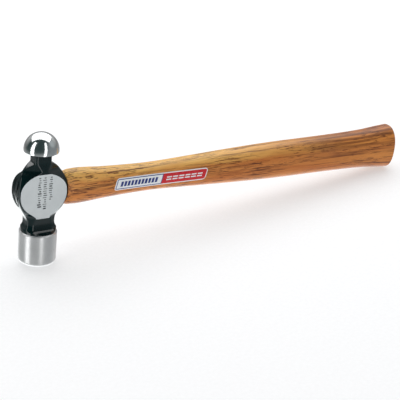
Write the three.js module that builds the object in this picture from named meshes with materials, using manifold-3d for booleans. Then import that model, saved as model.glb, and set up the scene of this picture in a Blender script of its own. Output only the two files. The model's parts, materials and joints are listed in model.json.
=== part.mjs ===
// Ball peen hammer, built the way the real tool is put together:
//   head          one steel forging: ball, two octagonal necks, eye body, round poll
//   handle        one turned and sanded stick whose tenon runs through the eye of the head
//   wooden_wedge  slip of wood driven into the saw kerf of the tenon
//   steel_wedge   short smooth wedge driven across the wooden one
//   label         thin printed foil on one side of the handle
// Nothing moves. The real joint is the wedged tenon in the hourglass eye.
//
// Millimetres. The tool is drawn in its own frame: the striking face lies at z = 0, the head
// stands along +Z and the handle leaves along +X. At the end of the file the whole tool is
// leant over, as it rests on a bench: on the edge of its striking face and on the butt.
import * as THREE from 'three';
import { mergeVertices } from 'three/addons/utils/BufferGeometryUtils.js';
import Module from 'manifold-3d';

// ---- driving dimensions -------------------------------------------------------------------
const HEAD_LENGTH = 102;
const BALL_RADIUS = 13;
const FACE_RADIUS = 14.25;
const POLL_HEIGHT = 25.2;
const CHEEK_THICKNESS = 15.4;
const EYE_HEIGHT = 56.9; // eye centre above the striking face
const REACH = 340.5; // head centre line to the end of the butt
const GAP = 0.3; // clearance kept between nested pieces

// ---- head ---------------------------------------------------------------------------------
const BALL_UNDERCUT = 1.4; // polished rim below the ball's equator
const BALL_SHOULDER_DROP = 1.1; // how far the black underside slopes down to the neck
const FACE_EDGE_RADIUS = 2.8;
const POLL_CHAMFER = 0.9;
const NECK_LOW_HEIGHT = 32.3; // where the lower neck starts to flare out to the collar
const COLLAR_FLARE_RADIUS = 6.3;
const CREASE_POWER = 8; // how sharply the eye body meets the necks

// Each measure of the eight-sided section: its size at the eye centre, at the upper and lower
// necks, how far above and below the eye centre the bulge reaches, and how square its curve is
// there (2 is an ellipse). The four shoulder facets keep |x| * SHOULDER_SLOPE + |y| within the
// shoulder measure.
const HALF_X = {
  belly: 19.4,
  upperNeck: 6.6, upperReach: 23, upperPower: 2.3,
  lowerNeck: 11, lowerReach: 24.5, lowerPower: 1.8,
};
const HALF_Y = {
  belly: 9,
  upperNeck: 5.6, upperReach: 24.4, upperPower: 2.3,
  lowerNeck: 6.6, lowerReach: 30.8, lowerPower: 2.3,
};
const SHOULDER = {
  belly: 17.75,
  upperNeck: 8.35, upperReach: 17.5, upperPower: 2.3,
  lowerNeck: 10.9, lowerReach: 20.3, lowerPower: 2.3,
};
const SHOULDER_SLOPE = 0.55;

const EYE_MOUTH = { halfHeight: 11.2, halfWidth: 5.4 };
const EYE_WAIST = { halfHeight: 10.2, halfWidth: 4.8 };
const PAST_HEAD = 3; // how far the eye is cut beyond the head on both sides

// ---- handle, wedges and label ----------------------------------------------------------------
const OVAL_POWER = 2.3; // the handle section is a slightly squared oval
const BUTT_DOME = 5;
const BUTT_DOME_POWER = 2.3;
const HANDLE_SHAPE = [
  // distance from the head centre line, half height, half width
  { x: 12, halfHeight: 12.3, halfWidth: 7.6 },
  { x: 20, halfHeight: 13.3, halfWidth: 8.2 },
  { x: 30, halfHeight: 13.8, halfWidth: 8.8 },
  { x: 39, halfHeight: 13.3, halfWidth: 9.0 },
  { x: 54, halfHeight: 12.1, halfWidth: 9.0 },
  { x: 92, halfHeight: 11.0, halfWidth: 9.0 },
  { x: 135, halfHeight: 12.6, halfWidth: 10.0 },
  { x: 170, halfHeight: 14.1, halfWidth: 11.0 },
  { x: 210, halfHeight: 15.3, halfWidth: 11.6 },
  { x: 268, halfHeight: 15.9, halfWidth: 11.7 },
  { x: 303, halfHeight: 16.8, halfWidth: 12.1 },
  { x: 324, halfHeight: 18.5, halfWidth: 13.0 },
  { x: REACH - BUTT_DOME, halfHeight: 19.3, halfWidth: 13.4 },
];

const TENON_RECESS = 0.4; // tenon and wedges end this far inside the front of the eye
const KERF = { depth: 30, mouth: 3.4, tip: 0.9 };
const STEEL_WEDGE = { depth: 15, mouth: 2.4, tip: 0.5, halfWidth: 3.9 };

const LABEL = { start: 58.5, end: 139.5, halfHeight: 4.9, rise: 0.1, slant: 1.2, thickness: 0.25 };

// ---- fineness of the faceted surfaces ---------------------------------------------------------
const OCTAGON_STEPS = 5; // points along each of the eight sides
const LATHE_SEGMENTS = 56;
const OVAL_SEGMENTS = 36;
const HANDLE_STEPS = 44;
const DOME_SCALES = [0.96, 0.88, 0.72, 0.45]; // sizes of the rings over the butt's dome
const CHANNEL_STEPS = 12;
const BODY_ROWS = 34;
const BALL_ARC_POINTS = 9;
const POLL_ARC_POINTS = 3;
const LABEL_SEGMENTS = { along: 20, up: 6 };
const BISECTION_STEPS = 50;

const wasm = await Module();
wasm.setup();

function toSolid(geometry) {
  const shell = geometry.clone();
  shell.deleteAttribute('normal');
  shell.deleteAttribute('uv');
  const merged = mergeVertices(shell);
  const mesh = new wasm.Mesh({
    numProp: 3,
    vertProperties: new Float32Array(merged.attributes.position.array),
    triVerts: new Uint32Array(wholeTriangles(merged.index.array)),
  });
  return new wasm.Manifold(mesh);
}

// A lathe's triangles that meet the axis collapse once its points are merged: they are left out.
function wholeTriangles(index) {
  const kept = [];
  for (let i = 0; i < index.length; i += 3) {
    const [a, b, c] = index.slice(i, i + 3);
    if (a !== b && b !== c && c !== a) {
      kept.push(a, b, c);
    }
  }
  return kept;
}

function toGeometry(solid) {
  const mesh = solid.getMesh();
  const geometry = new THREE.BufferGeometry();
  geometry.setAttribute('position', new THREE.BufferAttribute(mesh.vertProperties, 3));
  geometry.setIndex(new THREE.BufferAttribute(mesh.triVerts, 1));
  return geometry;
}

// A closed skin over a row of rings. Every ring is a list of the same number of points, running
// counter-clockwise seen from the end of the row. A cylinder's vertices are moved onto them.
function loft(rings) {
  const sides = rings[0].length;
  const rows = rings.length - 1;
  const geometry = new THREE.CylinderGeometry(1, 1, 1, sides, rows);
  const position = geometry.attributes.position;
  for (let i = 0; i < position.count; i += 1) {
    const ring = rings[Math.round((position.getY(i) + 0.5) * rows)];
    const turn = Math.atan2(position.getX(i), position.getZ(i)) / (2 * Math.PI);
    const onAxis = Math.hypot(position.getX(i), position.getZ(i)) < 0.5;
    const target = onAxis ? middle(ring) : ring[(Math.round(turn * sides) + sides) % sides];
    position.setXYZ(i, target.x, target.y, target.z);
  }
  return geometry;
}

function middle(ring) {
  const sum = new THREE.Vector3();
  ring.forEach((point) => sum.add(point));
  return sum.divideScalar(ring.length);
}

// Size of one measure of the eye body at a height: a bulge that meets the neck above or below it.
function bodyMeasure(measure, height) {
  const above = height > EYE_HEIGHT;
  const neck = above ? measure.upperNeck : measure.lowerNeck;
  const reach = above ? measure.upperReach : measure.lowerReach;
  const power = above ? measure.upperPower : measure.lowerPower;
  const distance = Math.min(1, Math.abs(height - EYE_HEIGHT) / reach);
  const bulge = measure.belly * (1 - distance ** power) ** (1 / power);
  return (bulge ** CREASE_POWER + neck ** CREASE_POWER) ** (1 / CREASE_POWER);
}

// Extra size below the lower neck, where the facets flare out to the round collar of the poll.
function collarFlare(height) {
  const drop = Math.min(Math.max(0, NECK_LOW_HEIGHT - height), COLLAR_FLARE_RADIUS);
  return COLLAR_FLARE_RADIUS - Math.sqrt(COLLAR_FLARE_RADIUS ** 2 - drop ** 2);
}

// The eight-sided section of the forging at a height. The cheeks are ground flat above the neck.
function forgedSection(height, grow) {
  const flare = collarFlare(height);
  const groundDepth = height > NECK_LOW_HEIGHT ? CHEEK_THICKNESS / 2 : Infinity;
  const halfX = bodyMeasure(HALF_X, height) + flare + grow;
  const halfY = Math.min(bodyMeasure(HALF_Y, height) + flare, groundDepth) + grow;
  const shoulderGrowth = (flare + grow) * Math.hypot(1, SHOULDER_SLOPE);
  return octagon(halfX, halfY, bodyMeasure(SHOULDER, height) + shoulderGrowth, height);
}

function octagon(halfX, halfY, shoulder, height) {
  const cornerY = Math.max(0, shoulder - halfX * SHOULDER_SLOPE);
  const cornerX = Math.max(0, (shoulder - halfY) / SHOULDER_SLOPE);
  const quarter = [[halfX, cornerY], [cornerX, halfY]];
  const mirrored = quarter.map(([x, y]) => [-x, y]).reverse();
  const half = quarter.concat(mirrored);
  const corners = half.concat(half.map(([x, y]) => [-x, -y]));
  const ring = [];
  corners.forEach(([x, y], i) => {
    const [nextX, nextY] = corners[(i + 1) % corners.length];
    for (let step = 0; step < OCTAGON_STEPS; step += 1) {
      const share = step / OCTAGON_STEPS;
      ring.push(new THREE.Vector3(x + (nextX - x) * share, y + (nextY - y) * share, height));
    }
  });
  return ring;
}

// Points further from the head's centre line than the limit are drawn in onto a circle.
function keptRound(ring, limit) {
  return ring.map((point) => {
    const radius = Math.hypot(point.x, point.y);
    const scale = Math.min(1, limit / radius);
    return new THREE.Vector3(point.x * scale, point.y * scale, point.z);
  });
}

// Heights of the rows of the eye body, closer together where its outline turns quickly. The top
// and bottom edges of the ground cheeks each get a row of their own.
function bodyHeights() {
  const low = POLL_HEIGHT - 1;
  const high = HEAD_LENGTH - BALL_RADIUS - BALL_UNDERCUT;
  const heights = [cheekEdge(1), cheekEdge(-1), EYE_HEIGHT];
  for (let row = 0; row <= BODY_ROWS; row += 1) {
    heights.push(low + ((high - low) * row) / BODY_ROWS);
  }
  return heights.sort((a, b) => a - b);
}

// Height at which the forged depth equals the ground thickness, above or below the eye.
function cheekEdge(direction) {
  let inside = 0;
  let outside = EYE_HEIGHT - NECK_LOW_HEIGHT;
  for (let step = 0; step < BISECTION_STEPS; step += 1) {
    const trial = (inside + outside) / 2;
    const depth = bodyMeasure(HALF_Y, EYE_HEIGHT + direction * trial);
    if (depth > CHEEK_THICKNESS / 2) {
      inside = trial;
    } else {
      outside = trial;
    }
  }
  return EYE_HEIGHT + direction * inside;
}

function eyeBody(grow) {
  const collarLimit = FACE_RADIUS - POLL_CHAMFER + grow;
  return loft(bodyHeights().map((height) => keptRoundBelowNeck(height, grow, collarLimit)));
}

// Below the neck the facets may not stand out beyond the round collar.
function keptRoundBelowNeck(height, grow, limit) {
  const ring = forgedSection(height, grow);
  return height < NECK_LOW_HEIGHT ? keptRound(ring, limit) : ring;
}

function turned(profile) {
  return new THREE.LatheGeometry(profile, LATHE_SEGMENTS).rotateX(Math.PI / 2);
}

function ball(grow) {
  const centre = HEAD_LENGTH - BALL_RADIUS;
  const radius = BALL_RADIUS + grow;
  const rimAngle = -Math.asin((BALL_UNDERCUT + grow) / radius);
  const rimHeight = centre - BALL_UNDERCUT - grow;
  const profile = new THREE.Path();
  profile.moveTo(0, rimHeight - BALL_SHOULDER_DROP);
  profile.lineTo(HALF_X.upperNeck, rimHeight - BALL_SHOULDER_DROP);
  profile.absarc(0, centre, radius, rimAngle, Math.PI / 2, false);
  return turned(profile.getPoints(BALL_ARC_POINTS));
}

function poll(grow) {
  const edge = FACE_EDGE_RADIUS;
  const radius = FACE_RADIUS + grow;
  const profile = new THREE.Path();
  profile.moveTo(0, -grow);
  profile.lineTo(radius - edge, -grow);
  profile.absarc(radius - edge, edge - grow, edge, -Math.PI / 2, 0, false);
  profile.lineTo(radius, POLL_HEIGHT - POLL_CHAMFER);
  profile.lineTo(radius - POLL_CHAMFER, POLL_HEIGHT);
  profile.lineTo(0, POLL_HEIGHT);
  return turned(profile.getPoints(POLL_ARC_POINTS));
}

// The eye narrows from both mouths to its waist, like an hourglass.
function eyeRing(x, shrink) {
  const share = Math.min(1, Math.abs(x) / HALF_X.belly) ** 2;
  const halfHeight = THREE.MathUtils.lerp(EYE_WAIST.halfHeight, EYE_MOUTH.halfHeight, share) - shrink;
  const halfWidth = THREE.MathUtils.lerp(EYE_WAIST.halfWidth, EYE_MOUTH.halfWidth, share) - shrink;
  return ovalRing(x, halfHeight, halfWidth);
}

function ovalRing(x, halfHeight, halfWidth) {
  const ring = [];
  for (let i = 0; i < OVAL_SEGMENTS; i += 1) {
    const angle = (2 * Math.PI * i) / OVAL_SEGMENTS;
    const y = halfWidth * squared(Math.cos(angle));
    const z = EYE_HEIGHT + halfHeight * squared(Math.sin(angle));
    ring.push(new THREE.Vector3(x, y, z));
  }
  return ring;
}

function squared(value) {
  return Math.sign(value) * Math.abs(value) ** (2 / OVAL_POWER);
}

// The oval channel through the eye body, made longer than the body on both sides.
function eyeChannel(shrink) {
  const end = HALF_X.belly + PAST_HEAD;
  const rings = [];
  for (let step = 0; step <= CHANNEL_STEPS; step += 1) {
    rings.push(eyeRing(-end + (2 * end * step) / CHANNEL_STEPS, shrink));
  }
  return toSolid(loft(rings));
}

function forging(grow) {
  return toSolid(eyeBody(grow)).add(toSolid(ball(grow))).add(toSolid(poll(grow)));
}

function makeHead() {
  return forging(0).subtract(eyeChannel(0));
}

// ---- handle -----------------------------------------------------------------------------------
const handleCurve = new THREE.CatmullRomCurve3(
  HANDLE_SHAPE.map(({ x, halfHeight, halfWidth }) => new THREE.Vector3(x, halfHeight, halfWidth)),
);

// Half height and half width of the handle at a distance from the head's centre line.
function handleSize(x) {
  let low = 0;
  let high = 1;
  for (let step = 0; step < BISECTION_STEPS; step += 1) {
    const trial = (low + high) / 2;
    if (handleCurve.getPoint(trial).x < x) {
      low = trial;
    } else {
      high = trial;
    }
  }
  const point = handleCurve.getPoint(low);
  return { halfHeight: point.y, halfWidth: point.z };
}

function outerHandle() {
  const rings = [];
  const start = HANDLE_SHAPE[0].x;
  const rim = REACH - BUTT_DOME;
  for (let step = 0; step <= HANDLE_STEPS; step += 1) {
    const x = start + ((rim - start) * step) / HANDLE_STEPS;
    const { halfHeight, halfWidth } = handleSize(x);
    rings.push(ovalRing(x, halfHeight, halfWidth));
  }
  const { halfHeight, halfWidth } = handleSize(rim);
  for (const scale of DOME_SCALES) {
    const x = REACH - BUTT_DOME * scale ** BUTT_DOME_POWER;
    rings.push(ovalRing(x, halfHeight * scale, halfWidth * scale));
  }
  return toSolid(loft(rings));
}

// Everything behind the curved front of the eye: the forging drawn in by the recess, joined to a
// block that covers the rest of the handle.
function behindEyeFront() {
  const size = 2 * REACH;
  const block = new THREE.BoxGeometry(size, size, size).translate(REACH, 0, 0);
  return forging(-TENON_RECESS).add(toSolid(block));
}

// A wedge blank: a box that narrows towards its tip, entering along +X at the front of the eye.
function wedgeBlank({ depth, mouth, tip }, halfLength, lengthwise, grow) {
  const front = -HALF_X.belly - 1;
  const blank = new THREE.BoxGeometry(depth + 1 + grow, 1, 2 * (halfLength + grow));
  blank.translate(front + (depth + 1 + grow) / 2, 0, 0);
  const position = blank.attributes.position;
  for (let i = 0; i < position.count; i += 1) {
    const atMouth = position.getX(i) < front + depth / 2;
    const thickness = (atMouth ? mouth : tip) + 2 * grow;
    position.setY(i, Math.sign(position.getY(i)) * (thickness / 2));
  }
  if (!lengthwise) {
    blank.rotateX(Math.PI / 2);
  }
  return toSolid(blank.translate(0, 0, EYE_HEIGHT));
}

function woodenWedgeBlank(grow) {
  return wedgeBlank(KERF, EYE_MOUTH.halfHeight + 1, true, grow);
}

function steelWedgeBlank(grow) {
  return wedgeBlank(STEEL_WEDGE, STEEL_WEDGE.halfWidth, false, grow);
}

// The tenon, saw kerf and all, with the shoulder fitted to the back of the head.
function makeHandle() {
  const shaped = outerHandle().subtract(forging(GAP)).add(eyeChannel(GAP));
  const trimmed = shaped.intersect(behindEyeFront());
  return trimmed.subtract(woodenWedgeBlank(GAP)).subtract(steelWedgeBlank(GAP));
}

function makeWoodenWedge() {
  const blank = woodenWedgeBlank(0).subtract(steelWedgeBlank(GAP));
  return blank.intersect(eyeChannel(GAP)).intersect(behindEyeFront());
}

function makeSteelWedge() {
  return steelWedgeBlank(0).intersect(behindEyeFront());
}

// ---- label ------------------------------------------------------------------------------------
// Distance of the handle's side surface from its middle plane.
function handleSide(x, height) {
  const { halfHeight, halfWidth } = handleSize(x);
  const share = Math.min(1, Math.abs(height) / halfHeight);
  return halfWidth * (1 - share ** OVAL_POWER) ** (1 / OVAL_POWER);
}

function makeLabel() {
  const length = LABEL.end - LABEL.start;
  const { along, up } = LABEL_SEGMENTS;
  const blank = new THREE.BoxGeometry(length, LABEL.thickness, 2 * LABEL.halfHeight, along, 1, up);
  const position = blank.attributes.position;
  for (let i = 0; i < position.count; i += 1) {
    const height = position.getZ(i) + LABEL.rise;
    const slant = (position.getZ(i) / LABEL.halfHeight) * LABEL.slant;
    const x = (LABEL.start + LABEL.end) / 2 + position.getX(i) + slant;
    const lift = LABEL.thickness / 2 + GAP / 2 - position.getY(i);
    position.setXYZ(i, x, -handleSide(x, height) - lift, EYE_HEIGHT + height);
  }
  return toSolid(blank);
}

// ---- materials and meshes ------------------------------------------------------------------------
function finish(color, roughness, metalness) {
  return new THREE.MeshStandardMaterial({ color, roughness, metalness });
}

const LACQUERED_STEEL = finish(0x16201f, 0.25, 0.4);
const HICKORY = finish(0xb9824f, 0.45, 0);
const WEDGE_WOOD = finish(0xc9a06a, 0.6, 0);
const WEDGE_STEEL = finish(0x8e9294, 0.4, 1);
const PRINTED_FOIL = finish(0xf2f2f2, 0.3, 0);

function named(name, solid, material) {
  const mesh = new THREE.Mesh(toGeometry(solid), material);
  mesh.name = name;
  return mesh;
}

const tool = new THREE.Group();
tool.add(named('head', makeHead(), LACQUERED_STEEL));
tool.add(named('handle', makeHandle(), HICKORY));
tool.add(named('wooden_wedge', makeWoodenWedge(), WEDGE_WOOD));
tool.add(named('steel_wedge', makeSteelWedge(), WEDGE_STEEL));
tool.add(named('label', makeLabel(), PRINTED_FOIL));

// ---- resting on the bench ------------------------------------------------------------------------
// Lowest point of a mesh when the tool is leant over by an angle about Y.
function lowestAt(mesh, lean) {
  const position = mesh.geometry.attributes.position;
  let lowest = Infinity;
  for (let i = 0; i < position.count; i += 1) {
    const height = position.getZ(i) * Math.cos(lean) - position.getX(i) * Math.sin(lean);
    lowest = Math.min(lowest, height);
  }
  return lowest;
}

// The lean at which the face edge and the butt touch the bench together.
function restingLean() {
  const [head, handle] = tool.children;
  let low = 0;
  let high = Math.PI / 8;
  for (let step = 0; step < BISECTION_STEPS; step += 1) {
    const trial = (low + high) / 2;
    if (lowestAt(head, trial) < lowestAt(handle, trial)) {
      low = trial;
    } else {
      high = trial;
    }
  }
  return low;
}

tool.rotation.y = restingLean();

const group = new THREE.Group();
group.add(tool);
const box = new THREE.Box3().setFromObject(group, true);
const centre = box.getCenter(new THREE.Vector3());
group.position.set(-centre.x, -centre.y, -box.min.z);

export default group;
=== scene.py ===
"""Looks of the ball peen hammer: a lacquered forging with bright ground cheeks, ball and face, a
hickory handle wedged into its eye, and a printed foil on the handle's side."""
import json
import math
import random

import bmesh
import bpy
from mathutils import Matrix, Vector


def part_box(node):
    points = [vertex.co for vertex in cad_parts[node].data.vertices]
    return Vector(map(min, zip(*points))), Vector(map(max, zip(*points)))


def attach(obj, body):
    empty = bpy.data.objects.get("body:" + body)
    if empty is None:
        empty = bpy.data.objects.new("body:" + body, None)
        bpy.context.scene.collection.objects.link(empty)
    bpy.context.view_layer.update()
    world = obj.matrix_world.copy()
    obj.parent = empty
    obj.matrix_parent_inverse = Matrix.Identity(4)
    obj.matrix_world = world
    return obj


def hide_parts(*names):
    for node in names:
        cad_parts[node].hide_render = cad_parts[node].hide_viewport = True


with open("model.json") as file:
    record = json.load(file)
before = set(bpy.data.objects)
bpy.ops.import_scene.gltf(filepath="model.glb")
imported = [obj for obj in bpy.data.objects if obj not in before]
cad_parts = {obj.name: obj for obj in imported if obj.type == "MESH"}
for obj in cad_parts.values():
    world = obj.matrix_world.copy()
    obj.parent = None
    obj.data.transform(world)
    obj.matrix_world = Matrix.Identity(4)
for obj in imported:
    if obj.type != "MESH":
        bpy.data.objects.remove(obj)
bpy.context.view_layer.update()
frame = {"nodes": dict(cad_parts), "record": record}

# ---- the tool's own frame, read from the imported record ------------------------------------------
# Lengths below are millimetres in the tool's frame: the striking face at z = 0, the head along +Z,
# the handle along +X. TOOL carries that frame to where the hammer rests.
MM = 0.001
mounts = {mount["name"]: mount for mount in frame["record"]["mounts"]}
face_centre = Vector(mounts["striking_face"]["pos_m"])
head_up = -Vector(mounts["striking_face"]["axis"])
cheek_centre = Vector(mounts["front_cheek"]["pos_m"])
LEAN = math.atan2(head_up.x, head_up.z)
TOOL = Matrix.Translation(face_centre) @ Matrix.Rotation(LEAN, 4, "Y")

# ---- head dimensions ----------------------------------------------------------------------------
HEAD_LENGTH = 102
BALL_RADIUS = 13
FACE_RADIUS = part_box("head")[1].y / MM
CHEEK_HALF = -cheek_centre.y / MM
EYE_HEIGHT = (cheek_centre - face_centre).dot(head_up) / MM
POLL_HEIGHT = 25.2
POLL_CHAMFER = 0.9
FACE_EDGE_RADIUS = 2.8
BALL_UNDERCUT = 1.4
BALL_SHOULDER_DROP = 1.1
NECK_LOW_HEIGHT = 32.3
COLLAR_FLARE_RADIUS = 6.3
CREASE_POWER = 8
FORGED_ROUNDING = 1.1  # how far each forged edge is rounded back from its corner
GROUND_BEVEL = 0.22

# Size of each measure at the eye centre and at both necks, and the reach of the bulge to each side
# with the power of its curve there (2 is an ellipse).
HALF_X = dict(
    belly=19.4, upper_neck=6.6, upper_reach=23, upper_power=2.3,
    lower_neck=11, lower_reach=24.5, lower_power=1.8)
HALF_Y = dict(
    belly=9, upper_neck=5.6, upper_reach=24.4, upper_power=2.3,
    lower_neck=6.6, lower_reach=30.8, lower_power=2.3)
SHOULDER = dict(
    belly=17.75, upper_neck=8.35, upper_reach=17.5, upper_power=2.3,
    lower_neck=10.9, lower_reach=20.3, lower_power=2.3)
SHOULDER_SLOPE = 0.55  # the shoulder facets keep |x| * slope + |y| within the shoulder measure
EYE_MOUTH = (11.2, 5.4)  # half height and half width of the eye where it opens
EYE_WAIST = (10.2, 4.8)

CHEEK_REACH = 23  # the ground cheeks end within this distance above and below the eye centre
SMALLEST_CORNER = 0.3  # a facet never narrows to less than this from the middle plane
PAST_HEAD = 3  # how far the eye is cut beyond the head on both sides

# Three columns of stamped strokes on the near cheek: (place along the handle, number of strokes).
STAMP_COLUMNS = ((-3.43, 14), (0.73, 15), (5.38, 11))
STAMP_TOP = 12.37  # first stroke, above the eye centre
STAMP_PITCH = 1.73
STAMP_DEPTH = 0.28
STAMP_WIDTHS = (0.5, 0.7, 1.0)
STAMP_LENGTHS = (1.4, 2.2, 2.9)
STAMP_WANDER = 0.4

SIDE_POINTS = 9  # along each of the eight forged sides
CORNER_POINTS = 5  # around each rounded corner
BODY_ROWS = 110
FACE_EDGE_STEPS = 10
BALL_STEPS = 30
EYE_STEPS = 24

# ---- handle and label dimensions ----------------------------------------------------------------
REACH = 340.3  # the smooth dome ends where the faceted one of the CAD does
OVAL_POWER = 2.3
BUTT_DOME = 5
BUTT_DOME_POWER = 2.3
FIT_GAP = 0.12  # clearance of the tenon in the eye and of the wedges in the tenon
TENON_RECESS = 0.4
HANDLE_SHAPE = [  # distance from the head's centre line, half height, half width
    (12, 12.3, 7.6),
    (20, 13.3, 8.2),
    (30, 13.8, 8.8),
    (39, 13.3, 9.0),
    (54, 12.1, 9.0),
    (92, 11.0, 9.0),
    (135, 12.6, 10.0),
    (170, 14.1, 11.0),
    (210, 15.3, 11.6),
    (268, 15.9, 11.7),
    (303, 16.8, 12.1),
    (324, 18.5, 13.0),
    (REACH - BUTT_DOME, 19.3, 13.4),
]
BUTT_RIM = REACH - BUTT_DOME
OVAL_POINTS = 96
TENON_STEPS = 20
SHOULDER_STEPS = 18
SHAFT_STEPS = 150
DOME_STEPS = 14
BISECTION_STEPS = 30
SHOULDER_GAP = 0.3  # clearance between the handle's shoulder and the back of the head
SHOULDER_END = 40  # where the rings stop following the head's curve and stand flat
KERF = dict(depth=30, mouth=3.4, tip=0.9)
STEEL_WEDGE = dict(depth=15, mouth=2.4, tip=0.5, half_width=3.9)

LABEL_START, LABEL_END = 58.5, 139.5
LABEL_HALF_HEIGHT = 4.9
LABEL_RISE = 0.1
LABEL_SLANT = 1.2
LABEL_CORNER = 2.4
LABEL_THICKNESS = 0.18
LABEL_LIFT = 0.03  # gap between the foil and the wood


# ---- small mesh helpers -------------------------------------------------------------------------
def new_object(name, bm, materials):
    """Turns a bmesh in tool millimetres into an object placed in the tool's frame."""
    bmesh.ops.recalc_face_normals(bm, faces=bm.faces)
    bmesh.ops.scale(bm, vec=(MM, MM, MM), verts=bm.verts)
    mesh = bpy.data.meshes.new(name)
    bm.to_mesh(mesh)
    bm.free()
    for material in materials:
        mesh.materials.append(material)
    obj = bpy.data.objects.new(name, mesh)
    bpy.context.scene.collection.objects.link(obj)
    obj.matrix_world = TOOL
    return obj


def ring_of(bm, points):
    return [bm.verts.new(point) for point in points]


def bridge(bm, lower, upper, material):
    """A band of faces between two rings of the same number of vertices."""
    count = len(lower)
    faces = []
    for i in range(count):
        after = (i + 1) % count
        faces.append(bm.faces.new((lower[i], lower[after], upper[after], upper[i])))
    for face in faces:
        face.material_index = material
        face.smooth = True
    return faces


def fan(bm, ring, centre, material):
    tip = bm.verts.new(centre)
    count = len(ring)
    for i in range(count):
        face = bm.faces.new((ring[i], ring[(i + 1) % count], tip))
        face.material_index = material
        face.smooth = True


def cut(target, cutter):
    """Cuts one object out of another and drops the cutter."""
    modifier = target.modifiers.new("cut", "BOOLEAN")
    modifier.operation = "DIFFERENCE"
    modifier.solver = "MANIFOLD"
    modifier.object = cutter
    graph = bpy.context.evaluated_depsgraph_get()
    result = bpy.data.meshes.new_from_object(target.evaluated_get(graph))
    target.modifiers.clear()
    old = target.data
    name = old.name
    target.data = result
    bpy.data.meshes.remove(old)
    result.name = name
    bpy.data.objects.remove(cutter)


def sharpen(obj, degrees):
    """Marks every edge that turns more than an angle as sharp, so both sides shade cleanly."""
    bm = bmesh.new()
    bm.from_mesh(obj.data)
    for face in bm.faces:
        face.smooth = True
    for edge in bm.edges:
        edge.smooth = len(edge.link_faces) == 2 and edge.calc_face_angle() < math.radians(degrees)
    bm.to_mesh(obj.data)
    bm.free()


# ---- node helpers -------------------------------------------------------------------------------
def new_material(name, **sockets):
    material = bpy.data.materials.new(name)
    material.use_nodes = True
    shader = material.node_tree.nodes["Principled BSDF"]
    for socket, value in sockets.items():
        shader.inputs[socket.replace("_", " ")].default_value = value
    return material, material.node_tree, shader


def add(tree, kind, inputs=None, **settings):
    """A new node: settings are its properties, inputs its sockets, linked or set to a value."""
    node = tree.nodes.new(kind)
    for setting, value in settings.items():
        setattr(node, setting, value)
    for socket, value in (inputs or {}).items():
        if isinstance(value, bpy.types.NodeSocket):
            tree.links.new(value, node.inputs[socket])
        else:
            node.inputs[socket].default_value = value
    return node


def maths(tree, operation, a, b):
    return add(tree, "ShaderNodeMath", {0: a, 1: b}, operation=operation).outputs[0]


def stretched(tree, scale, rotation=(0, 0, 0)):
    """The tool's own coordinates, in metres, stretched by a scale for each axis."""
    coordinates = add(tree, "ShaderNodeTexCoord")
    mapping = add(tree, "ShaderNodeMapping", {
        "Vector": coordinates.outputs["Object"], "Scale": scale, "Rotation": rotation})
    return mapping.outputs[0]


def noise(tree, vector, detail=4.0, roughness=0.55, distortion=0.0):
    node = add(tree, "ShaderNodeTexNoise", {
        "Vector": vector, "Scale": 1.0, "Detail": detail,
        "Roughness": roughness, "Distortion": distortion})
    return node.outputs["Fac"]


def ramp(tree, value, stops):
    """Maps a value through colours: stops are (position, colour without alpha)."""
    node = add(tree, "ShaderNodeValToRGB", {"Fac": value})
    elements = node.color_ramp.elements
    while len(elements) < len(stops):
        elements.new(0.5)
    for element, (position, colour) in zip(elements, stops):
        element.position = position
        element.color = (*colour, 1)
    return node.outputs["Color"]


def between(tree, value, low, high, to_low=0.0, to_high=1.0):
    node = add(tree, "ShaderNodeMapRange", {
        "Value": value, "From Min": low, "From Max": high, "To Min": to_low, "To Max": to_high})
    return node.outputs["Result"]


def mix_colour(tree, factor, first, second, blend="MIX"):
    node = add(tree, "ShaderNodeMix", {"Factor": factor}, data_type="RGBA", blend_type=blend)
    for socket, value in (("A", first), ("B", second)):
        target = next(s for s in node.inputs if s.name == socket and s.type == "RGBA")
        if isinstance(value, bpy.types.NodeSocket):
            tree.links.new(value, target)
        else:
            target.default_value = (*value, 1)
    return next(s for s in node.outputs if s.type == "RGBA")


def bump(tree, shader, height, strength, distance):
    node = add(tree, "ShaderNodeBump", {
        "Height": height, "Strength": strength, "Distance": distance})
    tree.links.new(node.outputs["Normal"], shader.inputs["Normal"])


# ---- materials ----------------------------------------------------------------------------------
def lacquer_nodes(tree, shader):
    """Thick dark blue-green lacquer over an as-forged surface."""
    cloud = noise(tree, stretched(tree, (60, 60, 60)), detail=3)
    colour = ramp(tree, cloud, [(0.3, (0.0005, 0.0065, 0.007)), (0.75, (0.002, 0.013, 0.014))])
    tree.links.new(between(tree, cloud, 0.3, 0.8, 0.09, 0.16), shader.inputs["Roughness"])
    forged = noise(tree, stretched(tree, (260, 260, 260)), detail=2)
    return colour, forged


def lacquer_material():
    material, tree, shader = new_material("lacquer")
    colour, forged = lacquer_nodes(tree, shader)
    tree.links.new(colour, shader.inputs["Base Color"])
    bump(tree, shader, forged, 0.2, 0.0002)
    return material


def lacquered_end_material():
    """Lacquer brushed over the wood and wedges in the eye, thin on the raised fibres."""
    material, tree, shader = new_material("lacquered_end")
    colour, forged = lacquer_nodes(tree, shader)
    fibres = noise(tree, stretched(tree, (300, 1500, 1500)), detail=3)
    worn = between(tree, fibres, 0.58, 0.72, 0.0, 0.35)
    tree.links.new(mix_colour(tree, worn, colour, (0.10, 0.05, 0.025)), shader.inputs["Base Color"])
    bump(tree, shader, maths(tree, "ADD", forged, fibres), 0.25, 0.0003)
    return material


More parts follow.
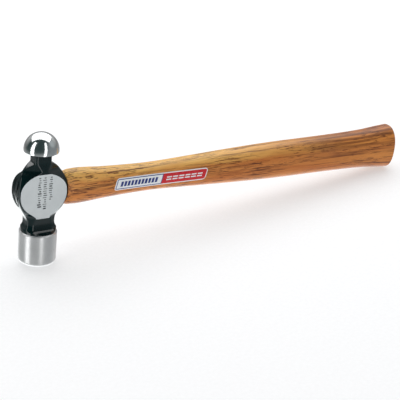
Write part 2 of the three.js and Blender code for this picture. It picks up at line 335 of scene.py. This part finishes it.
def ground_material():
    """Cheek steel, ground flat: fine parallel scratches along the handle's direction."""
    material, tree, shader = new_material("ground_steel", Metallic=0.55)
    scratches = noise(tree, stretched(tree, (120, 400, 5200)), detail=3, roughness=0.7)
    cloud = noise(tree, stretched(tree, (90, 90, 90)), detail=3)
    fine = maths(tree, "MULTIPLY", scratches, 0.4)
    tone = maths(tree, "ADD", fine, maths(tree, "MULTIPLY", cloud, 0.6))
    colour = ramp(tree, tone, [(0.3, (0.70, 0.73, 0.74)), (0.7, (0.80, 0.83, 0.84))])
    tree.links.new(colour, shader.inputs["Base Color"])
    tree.links.new(between(tree, scratches, 0.3, 0.7, 0.38, 0.50), shader.inputs["Roughness"])
    bump(tree, shader, scratches, 0.12, 0.0001)
    return material


def polished_material():
    """Mirror-polished ball with faint hairlines."""
    material, tree, shader = new_material("polished_steel", Metallic=1.0)
    hairlines = noise(tree, stretched(tree, (900, 900, 4200)), detail=2, roughness=0.7)
    colour = ramp(tree, hairlines, [(0.3, (0.70, 0.73, 0.73)), (0.7, (0.78, 0.80, 0.80))])
    tree.links.new(colour, shader.inputs["Base Color"])
    tree.links.new(between(tree, hairlines, 0.3, 0.7, 0.09, 0.15), shader.inputs["Roughness"])
    bump(tree, shader, hairlines, 0.03, 0.00005)
    return material


def turned_material():
    """Satin turned steel of the poll, with fine lines around it."""
    material, tree, shader = new_material("turned_steel", Metallic=0.7)
    lines = noise(tree, stretched(tree, (60, 60, 7000)), detail=3, roughness=0.7)
    cloud = noise(tree, stretched(tree, (70, 70, 70)), detail=2)
    colour = ramp(tree, cloud, [(0.3, (0.60, 0.60, 0.60)), (0.7, (0.68, 0.68, 0.685))])
    tree.links.new(colour, shader.inputs["Base Color"])
    tree.links.new(between(tree, lines, 0.3, 0.7, 0.27, 0.36), shader.inputs["Roughness"])
    bump(tree, shader, lines, 0.06, 0.00005)
    return material


def stamped_material():
    """Dark residue at the bottom of the stamped marks."""
    material, tree, shader = new_material("stamped", Metallic=0.6, Roughness=0.6)
    grime = noise(tree, stretched(tree, (900, 900, 900)), detail=2)
    colour = ramp(tree, grime, [(0.3, (0.02, 0.025, 0.028)), (0.7, (0.09, 0.095, 0.10))])
    tree.links.new(colour, shader.inputs["Base Color"])
    return material


def wood_colour(tree, light, warm, sapwood_and_top_light, dark):
    """Hickory tones: drifting bands, a paler band along the top that is painted top light with some
    sapwood tone, dark growth lines, pore dashes.
    """
    drift = (0, math.radians(1.6), math.radians(1.2))
    broad = noise(tree, stretched(tree, (7, 95, 60), drift), detail=5, roughness=0.6, distortion=0.6)
    base = ramp(tree, broad, [(0.36, warm), (0.64, light)])
    rosy = noise(tree, stretched(tree, (14, 70, 50), drift), detail=3)
    base = mix_colour(tree, between(tree, rosy, 0.54, 0.72, 0.0, 0.6), base, (0.24, 0.062, 0.028))

    coordinates = add(tree, "ShaderNodeTexCoord").outputs["Object"]
    place = add(tree, "ShaderNodeSeparateXYZ", {0: coordinates})
    waver = between(tree, broad, 0.3, 0.7, -0.004, 0.004)
    height = maths(tree, "ADD", maths(tree, "SUBTRACT", place.outputs["Z"], EYE_HEIGHT * MM), waver)
    # Paler towards the top of the handle, fading out before the butt: painted top light, partly sapwood
    # tone.
    before_butt = between(tree, place.outputs["X"], 0.13, 0.29, 0.9, 0.0)
    pale = maths(tree, "MULTIPLY", between(tree, height, 0.003, 0.010), before_butt)
    base = mix_colour(tree, pale, base, sapwood_and_top_light)

    for scale, start in (((6, 260, 170), 0.565), ((14, 760, 520), 0.54)):
        lines = noise(tree, stretched(tree, scale, drift), detail=4, roughness=0.7, distortion=1.2)
        base = mix_colour(tree, between(tree, lines, start, start + 0.11, 0.0, 0.9), base, dark)

    streaks = between(tree, noise(tree, stretched(tree, (8, 480, 340), drift), detail=4), 0.40, 0.58)
    near_butt = between(tree, place.outputs["X"], 0.20, 0.29, 0.0, 0.65)
    upper = between(tree, height, 0.001, 0.010)
    bundle = maths(tree, "MULTIPLY", maths(tree, "MULTIPLY", near_butt, upper), streaks)
    base = mix_colour(tree, bundle, base, dark)

    dashes = noise(tree, stretched(tree, (110, 1000, 800), drift), detail=3, roughness=0.6)
    patches = noise(tree, stretched(tree, (18, 120, 90), drift), detail=2)
    near_head = between(tree, place.outputs["X"], 0.035, 0.085, 0.25, 0.0)
    where = between(tree, maths(tree, "ADD", patches, near_head), 0.42, 0.60)
    pores = maths(tree, "MULTIPLY", between(tree, dashes, 0.53, 0.62), where)
    base = mix_colour(tree, maths(tree, "MULTIPLY", pores, 0.85), base, dark)
    return base, pores


def hickory_material():
    material, tree, shader = new_material(
        "hickory", Coat_Weight=0.15, Coat_Roughness=0.25, Specular_IOR_Level=0.3)
    # The pale colour along the top is painted top light, partly sapwood tone.
    base, pores = wood_colour(
        tree, light=(0.69, 0.26, 0.052), warm=(0.52, 0.155, 0.027),
        sapwood_and_top_light=(0.84, 0.49, 0.13), dark=(0.095, 0.022, 0.005))
    tree.links.new(base, shader.inputs["Base Color"])
    fibres = noise(tree, stretched(tree, (60, 2200, 2200)), detail=2)
    tree.links.new(between(tree, fibres, 0.3, 0.7, 0.36, 0.50), shader.inputs["Roughness"])
    relief = maths(tree, "SUBTRACT", maths(tree, "MULTIPLY", fibres, 0.25), pores)
    bump(tree, shader, relief, 0.35, 0.00015)
    return material


def print_material(name, colour, darker):
    """One ink of the printed foil, with faint mottling and handling scuffs in its gloss."""
    material, tree, shader = new_material(name, Coat_Weight=0.3, Coat_Roughness=0.12)
    mottle = noise(tree, stretched(tree, (300, 300, 300)), detail=4)
    tree.links.new(ramp(tree, mottle, [(0.3, darker), (0.7, colour)]), shader.inputs["Base Color"])
    scuffs = noise(tree, stretched(tree, (120, 900, 900)), detail=4, roughness=0.7)
    tree.links.new(between(tree, scuffs, 0.35, 0.7, 0.22, 0.42), shader.inputs["Roughness"])
    return material


# ---- head ---------------------------------------------------------------------------------------
def body_measure(measure, height):
    """One measure of the eye body at a height: a bulge that meets the neck above or below it."""
    side = "upper" if height > EYE_HEIGHT else "lower"
    distance = min(1.0, abs(height - EYE_HEIGHT) / measure[side + "_reach"])
    power = measure[side + "_power"]
    bulge = measure["belly"] * (1 - distance**power) ** (1 / power)
    neck = measure[side + "_neck"]
    return (bulge**CREASE_POWER + neck**CREASE_POWER) ** (1 / CREASE_POWER)


def collar_flare(height):
    drop = min(max(0.0, NECK_LOW_HEIGHT - height), COLLAR_FLARE_RADIUS)
    return COLLAR_FLARE_RADIUS - math.sqrt(COLLAR_FLARE_RADIUS**2 - drop**2)


def octagon_corners(half_x, half_y, shoulder):
    corner_y = max(SMALLEST_CORNER, shoulder - half_x * SHOULDER_SLOPE)
    corner_x = max(SMALLEST_CORNER, (shoulder - half_y) / SHOULDER_SLOPE)
    quarter = [(half_x, corner_y), (corner_x, half_y)]
    half = quarter + [(-x, y) for x, y in reversed(quarter)]
    return [Vector(c) for c in half + [(-x, -y) for x, y in half]]


def stepped(corner, neighbour, distance):
    """The point a distance from a corner towards its neighbour, short of the side's middle."""
    side = neighbour - corner
    return corner + side.normalized() * min(distance, side.length * 0.45)


def rounded_outline(corners, rounding):
    """Eight sides with rounded corners; every outline has the same number of points."""
    points = []
    count = len(corners)
    for i, corner in enumerate(corners):
        before, after = corners[i - 1], corners[(i + 1) % count]
        start = stepped(corner, before, rounding)
        end = stepped(corner, after, rounding)
        for step in range(CORNER_POINTS):
            t = step / (CORNER_POINTS - 1)
            points.append(start.lerp(corner, t).lerp(corner.lerp(end, t), t))
        following = stepped(after, corner, rounding)
        for step in range(1, SIDE_POINTS + 1):
            points.append(end.lerp(following, step / (SIDE_POINTS + 1)))
    return points


def forged_outline(height):
    flare = collar_flare(height)
    corners = octagon_corners(
        body_measure(HALF_X, height) + flare,
        body_measure(HALF_Y, height) + flare,
        body_measure(SHOULDER, height) + flare * math.hypot(1, SHOULDER_SLOPE),
    )
    outline = rounded_outline(corners, FORGED_ROUNDING)
    if height < NECK_LOW_HEIGHT:
        limit = FACE_RADIUS - POLL_CHAMFER
        outline = [p * min(1.0, limit / p.length) for p in outline]
    return outline


def circle_like(outline, radius):
    """A circle whose points lie in the same directions as an outline's."""
    return [p.normalized() * radius for p in outline]


def lifted(outline, height):
    return [(p.x, p.y, height) for p in outline]


LACQUER, GROUND, POLISHED, TURNED, STAMPED = range(5)


def poll_rings(outline):
    """Striking face, rounded edge, wall and top chamfer of the poll, as (ring, material above)."""
    edge = FACE_EDGE_RADIUS
    rings = []
    for share in (0.25, 0.6, 0.85, 1.0):
        rings.append((lifted(circle_like(outline, (FACE_RADIUS - edge) * share), 0), TURNED))
    for step in range(1, FACE_EDGE_STEPS + 1):
        angle = math.pi / 2 * step / FACE_EDGE_STEPS
        radius = FACE_RADIUS - edge + edge * math.sin(angle)
        rings.append((lifted(circle_like(outline, radius), edge - edge * math.cos(angle)), TURNED))
    top = POLL_HEIGHT - POLL_CHAMFER
    for share in (0.3, 0.65, 1.0):
        rings.append((lifted(circle_like(outline, FACE_RADIUS), edge + (top - edge) * share), TURNED))
    rings.append((lifted(circle_like(outline, FACE_RADIUS - POLL_CHAMFER), POLL_HEIGHT), LACQUER))
    return rings


def ball_rings(outline):
    """Black underside, polished rim and dome of the ball, as (ring, material above)."""
    centre = HEAD_LENGTH - BALL_RADIUS
    rim_angle = -math.asin(BALL_UNDERCUT / BALL_RADIUS)
    rim_height = centre - BALL_UNDERCUT
    rim_radius = BALL_RADIUS * math.cos(rim_angle)
    neck = HALF_X["upper_neck"]
    rings = []
    for share in (0.12, 0.35, 0.7, 0.95):
        radius = neck + (rim_radius - neck) * share
        height = rim_height - BALL_SHOULDER_DROP * (1 - share)
        rings.append((lifted(circle_like(outline, radius), height), LACQUER))
    rings.append((lifted(circle_like(outline, rim_radius - 0.25), rim_height), POLISHED))
    start = rim_angle + 0.02
    for step in range(BALL_STEPS):
        angle = start + (math.pi / 2 - start) * step / BALL_STEPS
        ring = circle_like(outline, BALL_RADIUS * math.cos(angle))
        rings.append((lifted(ring, centre + BALL_RADIUS * math.sin(angle)), POLISHED))
    return rings


def head_rings():
    low = POLL_HEIGHT + 0.05
    high = HEAD_LENGTH - BALL_RADIUS - BALL_UNDERCUT - BALL_SHOULDER_DROP
    heights = [low + (high - low) * row / BODY_ROWS for row in range(BODY_ROWS + 1)]
    body = [(lifted(forged_outline(height), height), LACQUER) for height in heights]
    return poll_rings(forged_outline(low)) + body + ball_rings(forged_outline(high))


def grind_cheek(bm, side):
    """Cuts the forged bulge off flat on one side and bevels the edge of the new face."""
    band = [f for f in bm.faces if abs(f.calc_center_median().z - EYE_HEIGHT) < CHEEK_REACH]
    geometry = set(band)
    for face in band:
        geometry.update(face.edges)
        geometry.update(face.verts)
    bmesh.ops.bisect_plane(
        bm, geom=list(geometry), dist=1e-4, clear_outer=True,
        plane_co=(0, side * CHEEK_HALF, 0), plane_no=(0, side, 0))
    rim = [e for e in bm.edges if e.is_boundary and e.verts[0].co.y * side > 0]
    cheek = bmesh.ops.holes_fill(bm, edges=rim, sides=0)["faces"]
    border = {v for face in cheek for v in face.verts}
    for face in cheek:
        face.material_index = GROUND
    bevel = bmesh.ops.inset_region(bm, faces=cheek, thickness=GROUND_BEVEL, use_even_offset=True)
    for face in bevel["faces"]:
        face.material_index = GROUND
    for vert in border:
        if vert.is_valid and not all(f in cheek for f in vert.link_faces):
            vert.co.y -= side * GROUND_BEVEL / 2


def oval_outline(x, half_height, half_width, points):
    ring = []
    for i in range(points):
        angle = 2 * math.pi * i / points
        y = half_width * math.copysign(abs(math.cos(angle)) ** (2 / OVAL_POWER), math.cos(angle))
        z = half_height * math.copysign(abs(math.sin(angle)) ** (2 / OVAL_POWER), math.sin(angle))
        ring.append((x, y, EYE_HEIGHT + z))
    return ring


def eye_size(x, shrink):
    share = min(1.0, abs(x) / HALF_X["belly"]) ** 2
    height = EYE_WAIST[0] + (EYE_MOUTH[0] - EYE_WAIST[0]) * share
    width = EYE_WAIST[1] + (EYE_MOUTH[1] - EYE_WAIST[1]) * share
    return height - shrink, width - shrink


def eye_cutter(materials):
    """The hourglass channel of the eye, longer than the head on both sides."""
    bm = bmesh.new()
    past = HALF_X["belly"] + PAST_HEAD
    rings = []
    for step in range(EYE_STEPS + 1):
        x = -past + 2 * past * step / EYE_STEPS
        rings.append(ring_of(bm, oval_outline(x, *eye_size(x, 0), OVAL_POINTS)))
    for lower, upper in zip(rings, rings[1:]):
        bridge(bm, lower, upper, LACQUER)
    fan(bm, rings[0], (-past, 0, EYE_HEIGHT), LACQUER)
    fan(bm, rings[-1], (past, 0, EYE_HEIGHT), LACQUER)
    return new_object("eye_cutter", bm, materials)


def stamp_cutter(materials):
    """Columns of plain stamped strokes that spell nothing."""
    rng = random.Random(7)
    bm = bmesh.new()
    for x, rows in STAMP_COLUMNS:
        for row in range(rows):
            z = EYE_HEIGHT + STAMP_TOP - row * STAMP_PITCH
            width = rng.choice(STAMP_WIDTHS)
            length = rng.choice(STAMP_LENGTHS)
            middle = x + rng.uniform(-STAMP_WANDER, STAMP_WANDER)
            low = (middle - length / 2, -CHEEK_HALF - 1, z - width / 2)
            high = (middle + length / 2, -CHEEK_HALF + STAMP_DEPTH, z + width / 2)
            for vert in bmesh.ops.create_cube(bm, size=1.0)["verts"]:
                vert.co = Vector((
                    low[axis] if vert.co[axis] < 0 else high[axis] for axis in range(3)))
    for face in bm.faces:
        face.material_index = STAMPED
    return new_object("stamp_cutter", bm, materials)


def make_head():
    materials = [lacquer_material(), ground_material(), polished_material(), turned_material(),
                 stamped_material()]
    bm = bmesh.new()
    rings = [(ring_of(bm, points), material) for points, material in head_rings()]
    fan(bm, list(reversed(rings[0][0])), (0, 0, 0), TURNED)
    for (lower, material), (upper, _) in zip(rings, rings[1:]):
        bridge(bm, lower, upper, material)
    fan(bm, rings[-1][0], (0, 0, HEAD_LENGTH), POLISHED)
    for side in (-1, 1):
        grind_cheek(bm, side)
    head = new_object("forged_head", bm, materials)
    cut(head, eye_cutter(materials))
    cut(head, stamp_cutter(materials))
    sharpen(head, 26)
    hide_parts("head")
    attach(head, "root")


# ---- handle -------------------------------------------------------------------------------------
def spline(values, t):
    """Catmull-Rom curve through evenly counted stations: t runs from 0 to their number less one."""
    i = min(int(t), len(values) - 2)
    f = t - i
    before, start = Vector(values[max(i - 1, 0)]), Vector(values[i])
    end, after = Vector(values[i + 1]), Vector(values[min(i + 2, len(values) - 1)])
    return 0.5 * (
        2 * start + (end - before) * f
        + (2 * before - 5 * start + 4 * end - after) * f**2
        + (3 * start - before - 3 * end + after) * f**3
    )


def handle_size(x):
    """Half height and half width of the handle at a distance from the head's centre line."""
    low, high = 0.0, len(HANDLE_SHAPE) - 1.0
    for _ in range(BISECTION_STEPS):
        trial = (low + high) / 2
        if spline(HANDLE_SHAPE, trial).x < x:
            low = trial
        else:
            high = trial
    point = spline(HANDLE_SHAPE, low)
    return point.y, point.z


def head_surface(z):
    """Distance of the eye body's end surface from the head's centre line, at a height."""
    return body_measure(HALF_X, z)


def handle_rings():
    """Rings from the tenon's end, through the eye, over the shoulder and on to the butt."""
    rings = []
    end = tenon_ring(0)
    for share in (0.3, 0.75):
        rings.append([(x, y * share, EYE_HEIGHT + (z - EYE_HEIGHT) * share) for x, y, z in end])
    for step in range(TENON_STEPS + 1):
        rings.append(tenon_ring(step / TENON_STEPS))
    for step in range(SHOULDER_STEPS + 1):
        rings.append(shoulder_ring(step / SHOULDER_STEPS))
    for step in range(1, SHAFT_STEPS + 1):
        x = SHOULDER_END + (BUTT_RIM - SHOULDER_END) * step / SHAFT_STEPS
        rings.append(oval_outline(x, *handle_size(x), OVAL_POINTS))
    half_height, half_width = handle_size(BUTT_RIM)
    for step in range(1, DOME_STEPS):
        scale = math.cos(math.pi / 2 * step / DOME_STEPS)
        x = REACH - BUTT_DOME * scale**BUTT_DOME_POWER
        rings.append(oval_outline(x, half_height * scale, half_width * scale, OVAL_POINTS))
    return rings


def tenon_ring(t):
    """A ring of the tenon, fitted to the eye at the place of each of its points."""
    x = HALF_X["belly"] * (2 * t - 1)
    ring = []
    for i, (_, _, z) in enumerate(oval_outline(x, *eye_size(x, FIT_GAP), OVAL_POINTS)):
        offset = TENON_RECESS * (1 - t) + SHOULDER_GAP * t
        placed = (2 * t - 1) * head_surface(z) + offset
        ring.append(oval_outline(placed, *eye_size(placed, FIT_GAP), OVAL_POINTS)[i])
    return ring


def shoulder_ring(t):
    """A ring of the shoulder: it fits the back of the head at t = 0 and stands flat at t = 1."""
    size_x = HALF_X["belly"] + (SHOULDER_END - HALF_X["belly"]) * t
    half_height, half_width = handle_size(size_x)
    ease = min(1.0, 0.93 + 0.35 * t)
    flat = oval_outline(0, half_height * ease, half_width * ease, OVAL_POINTS)
    return [((1 - t) * (head_surface(z) + SHOULDER_GAP) + t * SHOULDER_END, y, z)
            for _, y, z in flat]


def wedge_cutter(shape, half_length, lengthwise, materials):
    """The slot of a wedge: a box that narrows towards its tip, from in front of the tenon's end."""
    bm = bmesh.new()
    front = -HALF_X["belly"] - 1
    back = front + shape["depth"] + 1 + FIT_GAP
    for vert in bmesh.ops.create_cube(bm, size=1.0)["verts"]:
        thickness = (shape["mouth"] if vert.co.x < 0 else shape["tip"]) + 2 * FIT_GAP
        along = math.copysign(half_length + FIT_GAP, vert.co.z)
        across = math.copysign(thickness / 2, vert.co.y)
        y, z = (across, along) if lengthwise else (along, across)
        vert.co = Vector((front if vert.co.x < 0 else back, y, EYE_HEIGHT + z))
    for face in bm.faces:
        face.material_index = 1
    return new_object("wedge_cutter", bm, materials)


def make_handle():
    materials = [hickory_material(), lacquered_end_material()]
    bm = bmesh.new()
    rings = [ring_of(bm, points) for points in handle_rings()]
    for index, (lower, upper) in enumerate(zip(rings, rings[1:])):
        bridge(bm, lower, upper, 1 if index < 2 else 0)
    fan(bm, rings[0], (TENON_RECESS - HALF_X["belly"], 0, EYE_HEIGHT), 1)
    fan(bm, rings[-1], (REACH, 0, EYE_HEIGHT), 0)
    handle = new_object("hickory_handle", bm, materials)
    cut(handle, wedge_cutter(KERF, EYE_MOUTH[0] + 1, True, materials))
    cut(handle, wedge_cutter(STEEL_WEDGE, STEEL_WEDGE["half_width"], False, materials))
    sharpen(handle, 40)
    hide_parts("handle")
    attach(handle, "root")


def dress_wedges():
    """The wedges keep their CAD shapes; like the tenon's end they are lacquered over."""
    for node in ("wooden_wedge", "steel_wedge"):
        mesh = frame["nodes"][node].data
        mesh.materials.clear()
        mesh.materials.append(lacquered_end_material())


# ---- label --------------------------------------------------------------------------------------
WHITE, BLUE, RED = range(3)
BORDER = 0.75  # white margin around the print
KEYLINE = 0.65  # blue line inside the margin of the left panel
DIVIDE = 0.505  # share of the label's length taken by the left panel


def handle_side(x, height):
    """Distance of the handle's side from its middle plane, at a height above its centre line."""
    half_height, half_width = handle_size(x)
    share = min(1.0, abs(height) / half_height)
    return half_width * (1 - share**OVAL_POWER) ** (1 / OVAL_POWER)


def label_lines():
    """Grid lines of the print, along and across, in millimetres from its lower left corner."""
    length = LABEL_END - LABEL_START
    height = 2 * LABEL_HALF_HEIGHT
    divide = length * DIVIDE
    across = [0, BORDER, BORDER + KEYLINE, height - BORDER - KEYLINE, height - BORDER, height]
    across += [BORDER + KEYLINE + (height - 2 * (BORDER + KEYLINE)) * k / 14 for k in range(1, 14)]
    along = [0, BORDER, BORDER + KEYLINE, divide - KEYLINE, divide, length - BORDER, length]
    along += [0.2, 0.45, length - 0.2, length - 0.45]
    along += [mark for mark in range(2, int(length) - 1)]
    along += [edge for stroke in left_strokes(divide) for edge in stroke[:2]]
    along += [edge for dash in right_dashes(divide, length) for edge in dash[:2]]
    return thinned(along), thinned(across)


def thinned(values):
    kept = []
    for value in sorted(values):
        if not kept or value - kept[-1] > 1e-3:
            kept.append(value)
    return kept


def left_strokes(divide):
    """Even blue bars in the left panel: (start, end, low, high) with low and high as shares."""
    start = 4.0
    count = 11
    pitch = (divide - 2 * start) / count
    return [(start + pitch * (k + 0.15), start + pitch * (k + 0.85), 0.20, 0.80) for k in range(count)]


def right_dashes(divide, length):
    """Two rows of even white dashes in the right panel."""
    start, end = divide + 3.0, length - 3.6
    dashes = []
    for low, high, count in ((0.60, 0.74, 6), (0.26, 0.40, 6)):
        pitch = (end - start) / count
        for k in range(count):
            dashes.append((start + pitch * (k + 0.1), start + pitch * (k + 0.9), low, high))
    return dashes


def ink_at(along, across, length, height, divide):
    edge = min(along, length - along, across, height - across)
    if edge < BORDER:
        return WHITE
    share = (across - BORDER - KEYLINE) / (height - 2 * (BORDER + KEYLINE))
    if along > divide:
        inside = any(a < along < b and lo < share < hi for a, b, lo, hi in right_dashes(divide, length))
        return WHITE if inside else RED
    if edge < BORDER + KEYLINE or along > divide - KEYLINE:
        return BLUE
    inside = any(a < along < b and lo < share < hi for a, b, lo, hi in left_strokes(divide))
    return BLUE if inside else WHITE


def corner_squeeze(along, length):
    """How much of the label's height is left at a place, inside its rounded ends."""
    inset = LABEL_CORNER - min(along, length - along)
    if inset <= 0:
        return 1.0
    lost = LABEL_CORNER - math.sqrt(max(0.0, LABEL_CORNER**2 - inset**2))
    return 1 - lost / LABEL_HALF_HEIGHT


def label_point(along, across, length, lift):
    up = (across - LABEL_HALF_HEIGHT) * corner_squeeze(along, length)
    x = LABEL_START + along + up / LABEL_HALF_HEIGHT * LABEL_SLANT
    height = up + LABEL_RISE
    return (x, -handle_side(x, height) - lift, EYE_HEIGHT + height)


def make_label():
    materials = [
        print_material("print_white", (0.86, 0.87, 0.89), (0.80, 0.81, 0.84)),
        print_material("print_blue", (0.02, 0.045, 0.24), (0.012, 0.03, 0.18)),
        print_material("print_red", (0.66, 0.010, 0.020), (0.56, 0.007, 0.015)),
    ]
    length = LABEL_END - LABEL_START
    height = 2 * LABEL_HALF_HEIGHT
    divide = length * DIVIDE
    along, across = label_lines()
    bm = bmesh.new()
    layers = []
    for lift in (LABEL_LIFT, LABEL_THICKNESS):
        layers.append([[bm.verts.new(label_point(a, c, length, lift)) for c in across] for a in along])
    back, front = layers
    for i in range(len(along) - 1):
        for j in range(len(across) - 1):
            middle = ((along[i] + along[i + 1]) / 2, (across[j] + across[j + 1]) / 2)
            ink = ink_at(*middle, length, height, divide)
            corners = ((i, j), (i + 1, j), (i + 1, j + 1), (i, j + 1))
            bm.faces.new([front[a][b] for a, b in corners]).material_index = ink
            bm.faces.new([back[a][b] for a, b in reversed(corners)]).material_index = WHITE
    wall(bm, [row[0] for row in back], [row[0] for row in front])
    wall(bm, [row[-1] for row in front], [row[-1] for row in back])
    wall(bm, front[0], back[0])
    wall(bm, back[-1], front[-1])
    for face in bm.faces:
        face.smooth = True
    label = new_object("printed_label", bm, materials)
    sharpen(label, 40)
    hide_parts("label")
    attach(label, "root")


def wall(bm, first, second):
    for i in range(len(first) - 1):
        bm.faces.new((first[i], first[i + 1], second[i + 1], second[i])).material_index = WHITE


# ---- camera, floor and light --------------------------------------------------------------------
CAMERA_AZIMUTH = math.radians(-31.61)
CAMERA_ELEVATION = math.radians(26.05)
CAMERA_DISTANCE = 0.8756
CAMERA_LENS = 96.75
CAMERA_TARGET = (-0.02065, -0.00034, 0.0143)

# Studio: an overhead softbox and strips (name, azimuth and sideways lean in degrees, width in
# metres, power).
BOX_RISE = 1.2
BOX_WIDTH = 2.6
BOX_DEPTH = 2.4
BOX_POWER = 40
STRIP_DISTANCE = 0.9
STRIP_LENGTH = 2.0
STRIP_RISE = 0.42
STRIPS = (("left_strip", -84, 0, 0.38, 5.3), ("right_strip", 10, -14, 0.25, 2.9))


def direction(azimuth, elevation):
    """Unit vector towards an azimuth (0 is -Y, positive towards +X) and an elevation."""
    return Vector((
        math.sin(azimuth) * math.cos(elevation),
        -math.cos(azimuth) * math.cos(elevation),
        math.sin(elevation),
    ))


def make_camera():
    data = bpy.data.cameras.new("camera")
    data.lens = CAMERA_LENS
    data.sensor_width = 36
    camera = bpy.data.objects.new("camera", data)
    bpy.context.scene.collection.objects.link(camera)
    towards = direction(CAMERA_AZIMUTH, CAMERA_ELEVATION)
    camera.location = Vector(CAMERA_TARGET) + towards * CAMERA_DISTANCE
    camera.rotation_euler = (-towards).to_track_quat("-Z", "Y").to_euler()
    bpy.context.scene.camera = camera


def area_light(name, centre, width, height, power):
    data = bpy.data.lights.new(name, "AREA")
    data.shape = "RECTANGLE"
    data.size = width
    data.size_y = height
    data.energy = power
    light = bpy.data.objects.new(name, data)
    bpy.context.scene.collection.objects.link(light)
    light.location = centre
    return light


def make_lights():
    """A big overhead box reaching behind the hammer, square to the camera, and two tall strips."""
    head_middle = face_centre + head_up * EYE_HEIGHT * MM
    behind = direction(CAMERA_AZIMUTH + math.pi, 0)
    centre = head_middle + Vector((0, 0, BOX_RISE)) + behind * (BOX_DEPTH / 2 - 0.03)
    box = area_light("overhead_box", centre, BOX_WIDTH, BOX_DEPTH, BOX_POWER)
    box.rotation_euler = (0, 0, CAMERA_AZIMUTH)
    for name, azimuth, sideways, width, power in STRIPS:
        towards = direction(math.radians(azimuth), 0)
        centre = head_middle + towards * STRIP_DISTANCE + Vector((0, 0, STRIP_RISE))
        strip = area_light(name, centre, width, STRIP_LENGTH, power)
        lean = Matrix.Rotation(math.radians(sideways), 3, towards)
        upright = (-towards).to_track_quat("-Z", "Y").to_matrix()
        strip.rotation_euler = (lean @ upright).to_euler()


def looking(tree, seen, way, low, high):
    """Rises from 0 to 1 as the direction seen turns towards a given way."""
    facing = add(tree, "ShaderNodeVectorMath", {0: seen, 1: way}, operation="DOT_PRODUCT")
    return between(tree, facing.outputs["Value"], low, high)


def make_world():
    """A dark room in front, lighter below and to the right, with paper behind, a bright floor low
    on the left behind the hammer and a pale wall on its right."""
    world = bpy.data.worlds.new("studio")
    world.use_nodes = True
    tree = world.node_tree
    seen = add(tree, "ShaderNodeTexCoord").outputs["Generated"]
    downwards = looking(tree, seen, (0, 0, -1), -0.35, 0.75)
    room = ramp(tree, downwards, [(0.0, (0.035, 0.055, 0.055)), (0.35, (0.06, 0.08, 0.08)),
                                  (0.70, (0.34, 0.36, 0.36)), (1.0, (0.75, 0.76, 0.77))])
    right = looking(tree, seen, direction(CAMERA_AZIMUTH + math.pi / 2, 0), 0.45, 0.95)
    room = mix_colour(tree, right, room, (0.24, 0.26, 0.27))
    paper = ramp(tree, downwards, [(0.0, (0.55, 0.55, 0.55)), (0.35, (0.22, 0.22, 0.22)),
                                   (0.70, (0.42, 0.42, 0.42)), (0.95, (1.0, 1.0, 1.0))])
    behind = looking(tree, seen, direction(CAMERA_AZIMUTH + math.pi, 0), 0.10, 0.70)
    room = mix_colour(tree, behind, room, paper)
    floor_left = direction(CAMERA_AZIMUTH - math.radians(150), -math.radians(60))
    room = mix_colour(tree, looking(tree, seen, floor_left, 0.77, 0.90), room, (2.3, 2.4, 2.4))
    wall_right = direction(CAMERA_AZIMUTH + math.radians(98), math.radians(25))
    room = mix_colour(tree, looking(tree, seen, wall_right, 0.92, 0.99), room, (0.42, 0.45, 0.46))
    background = tree.nodes["Background"]
    tree.links.new(room, background.inputs["Color"])
    bpy.context.scene.world = world
    bpy.context.scene.view_settings.view_transform = "Standard"


def make_floor():
    bm = bmesh.new()
    bmesh.ops.create_grid(bm, x_segments=4, y_segments=4, size=4)
    mesh = bpy.data.meshes.new("floor")
    bm.to_mesh(mesh)
    bm.free()
    material, tree, shader = new_material(
        "paper", Roughness=0.8, Emission_Color=(1, 1, 1, 1), Emission_Strength=0.50)
    grain = noise(tree, stretched(tree, (400, 400, 400)), detail=2)
    colour = ramp(tree, grain, [(0.3, (0.44, 0.44, 0.45)), (0.7, (0.47, 0.47, 0.48))])
    tree.links.new(colour, shader.inputs["Base Color"])
    mesh.materials.append(material)
    floor = bpy.data.objects.new("floor", mesh)
    bpy.context.scene.collection.objects.link(floor)
    floor.location.z = -0.0002
    floor.visible_glossy = False
    floor.visible_shadow = False


make_camera()
make_lights()
make_world()
make_floor()
make_head()
make_handle()
dress_wedges()
make_label()
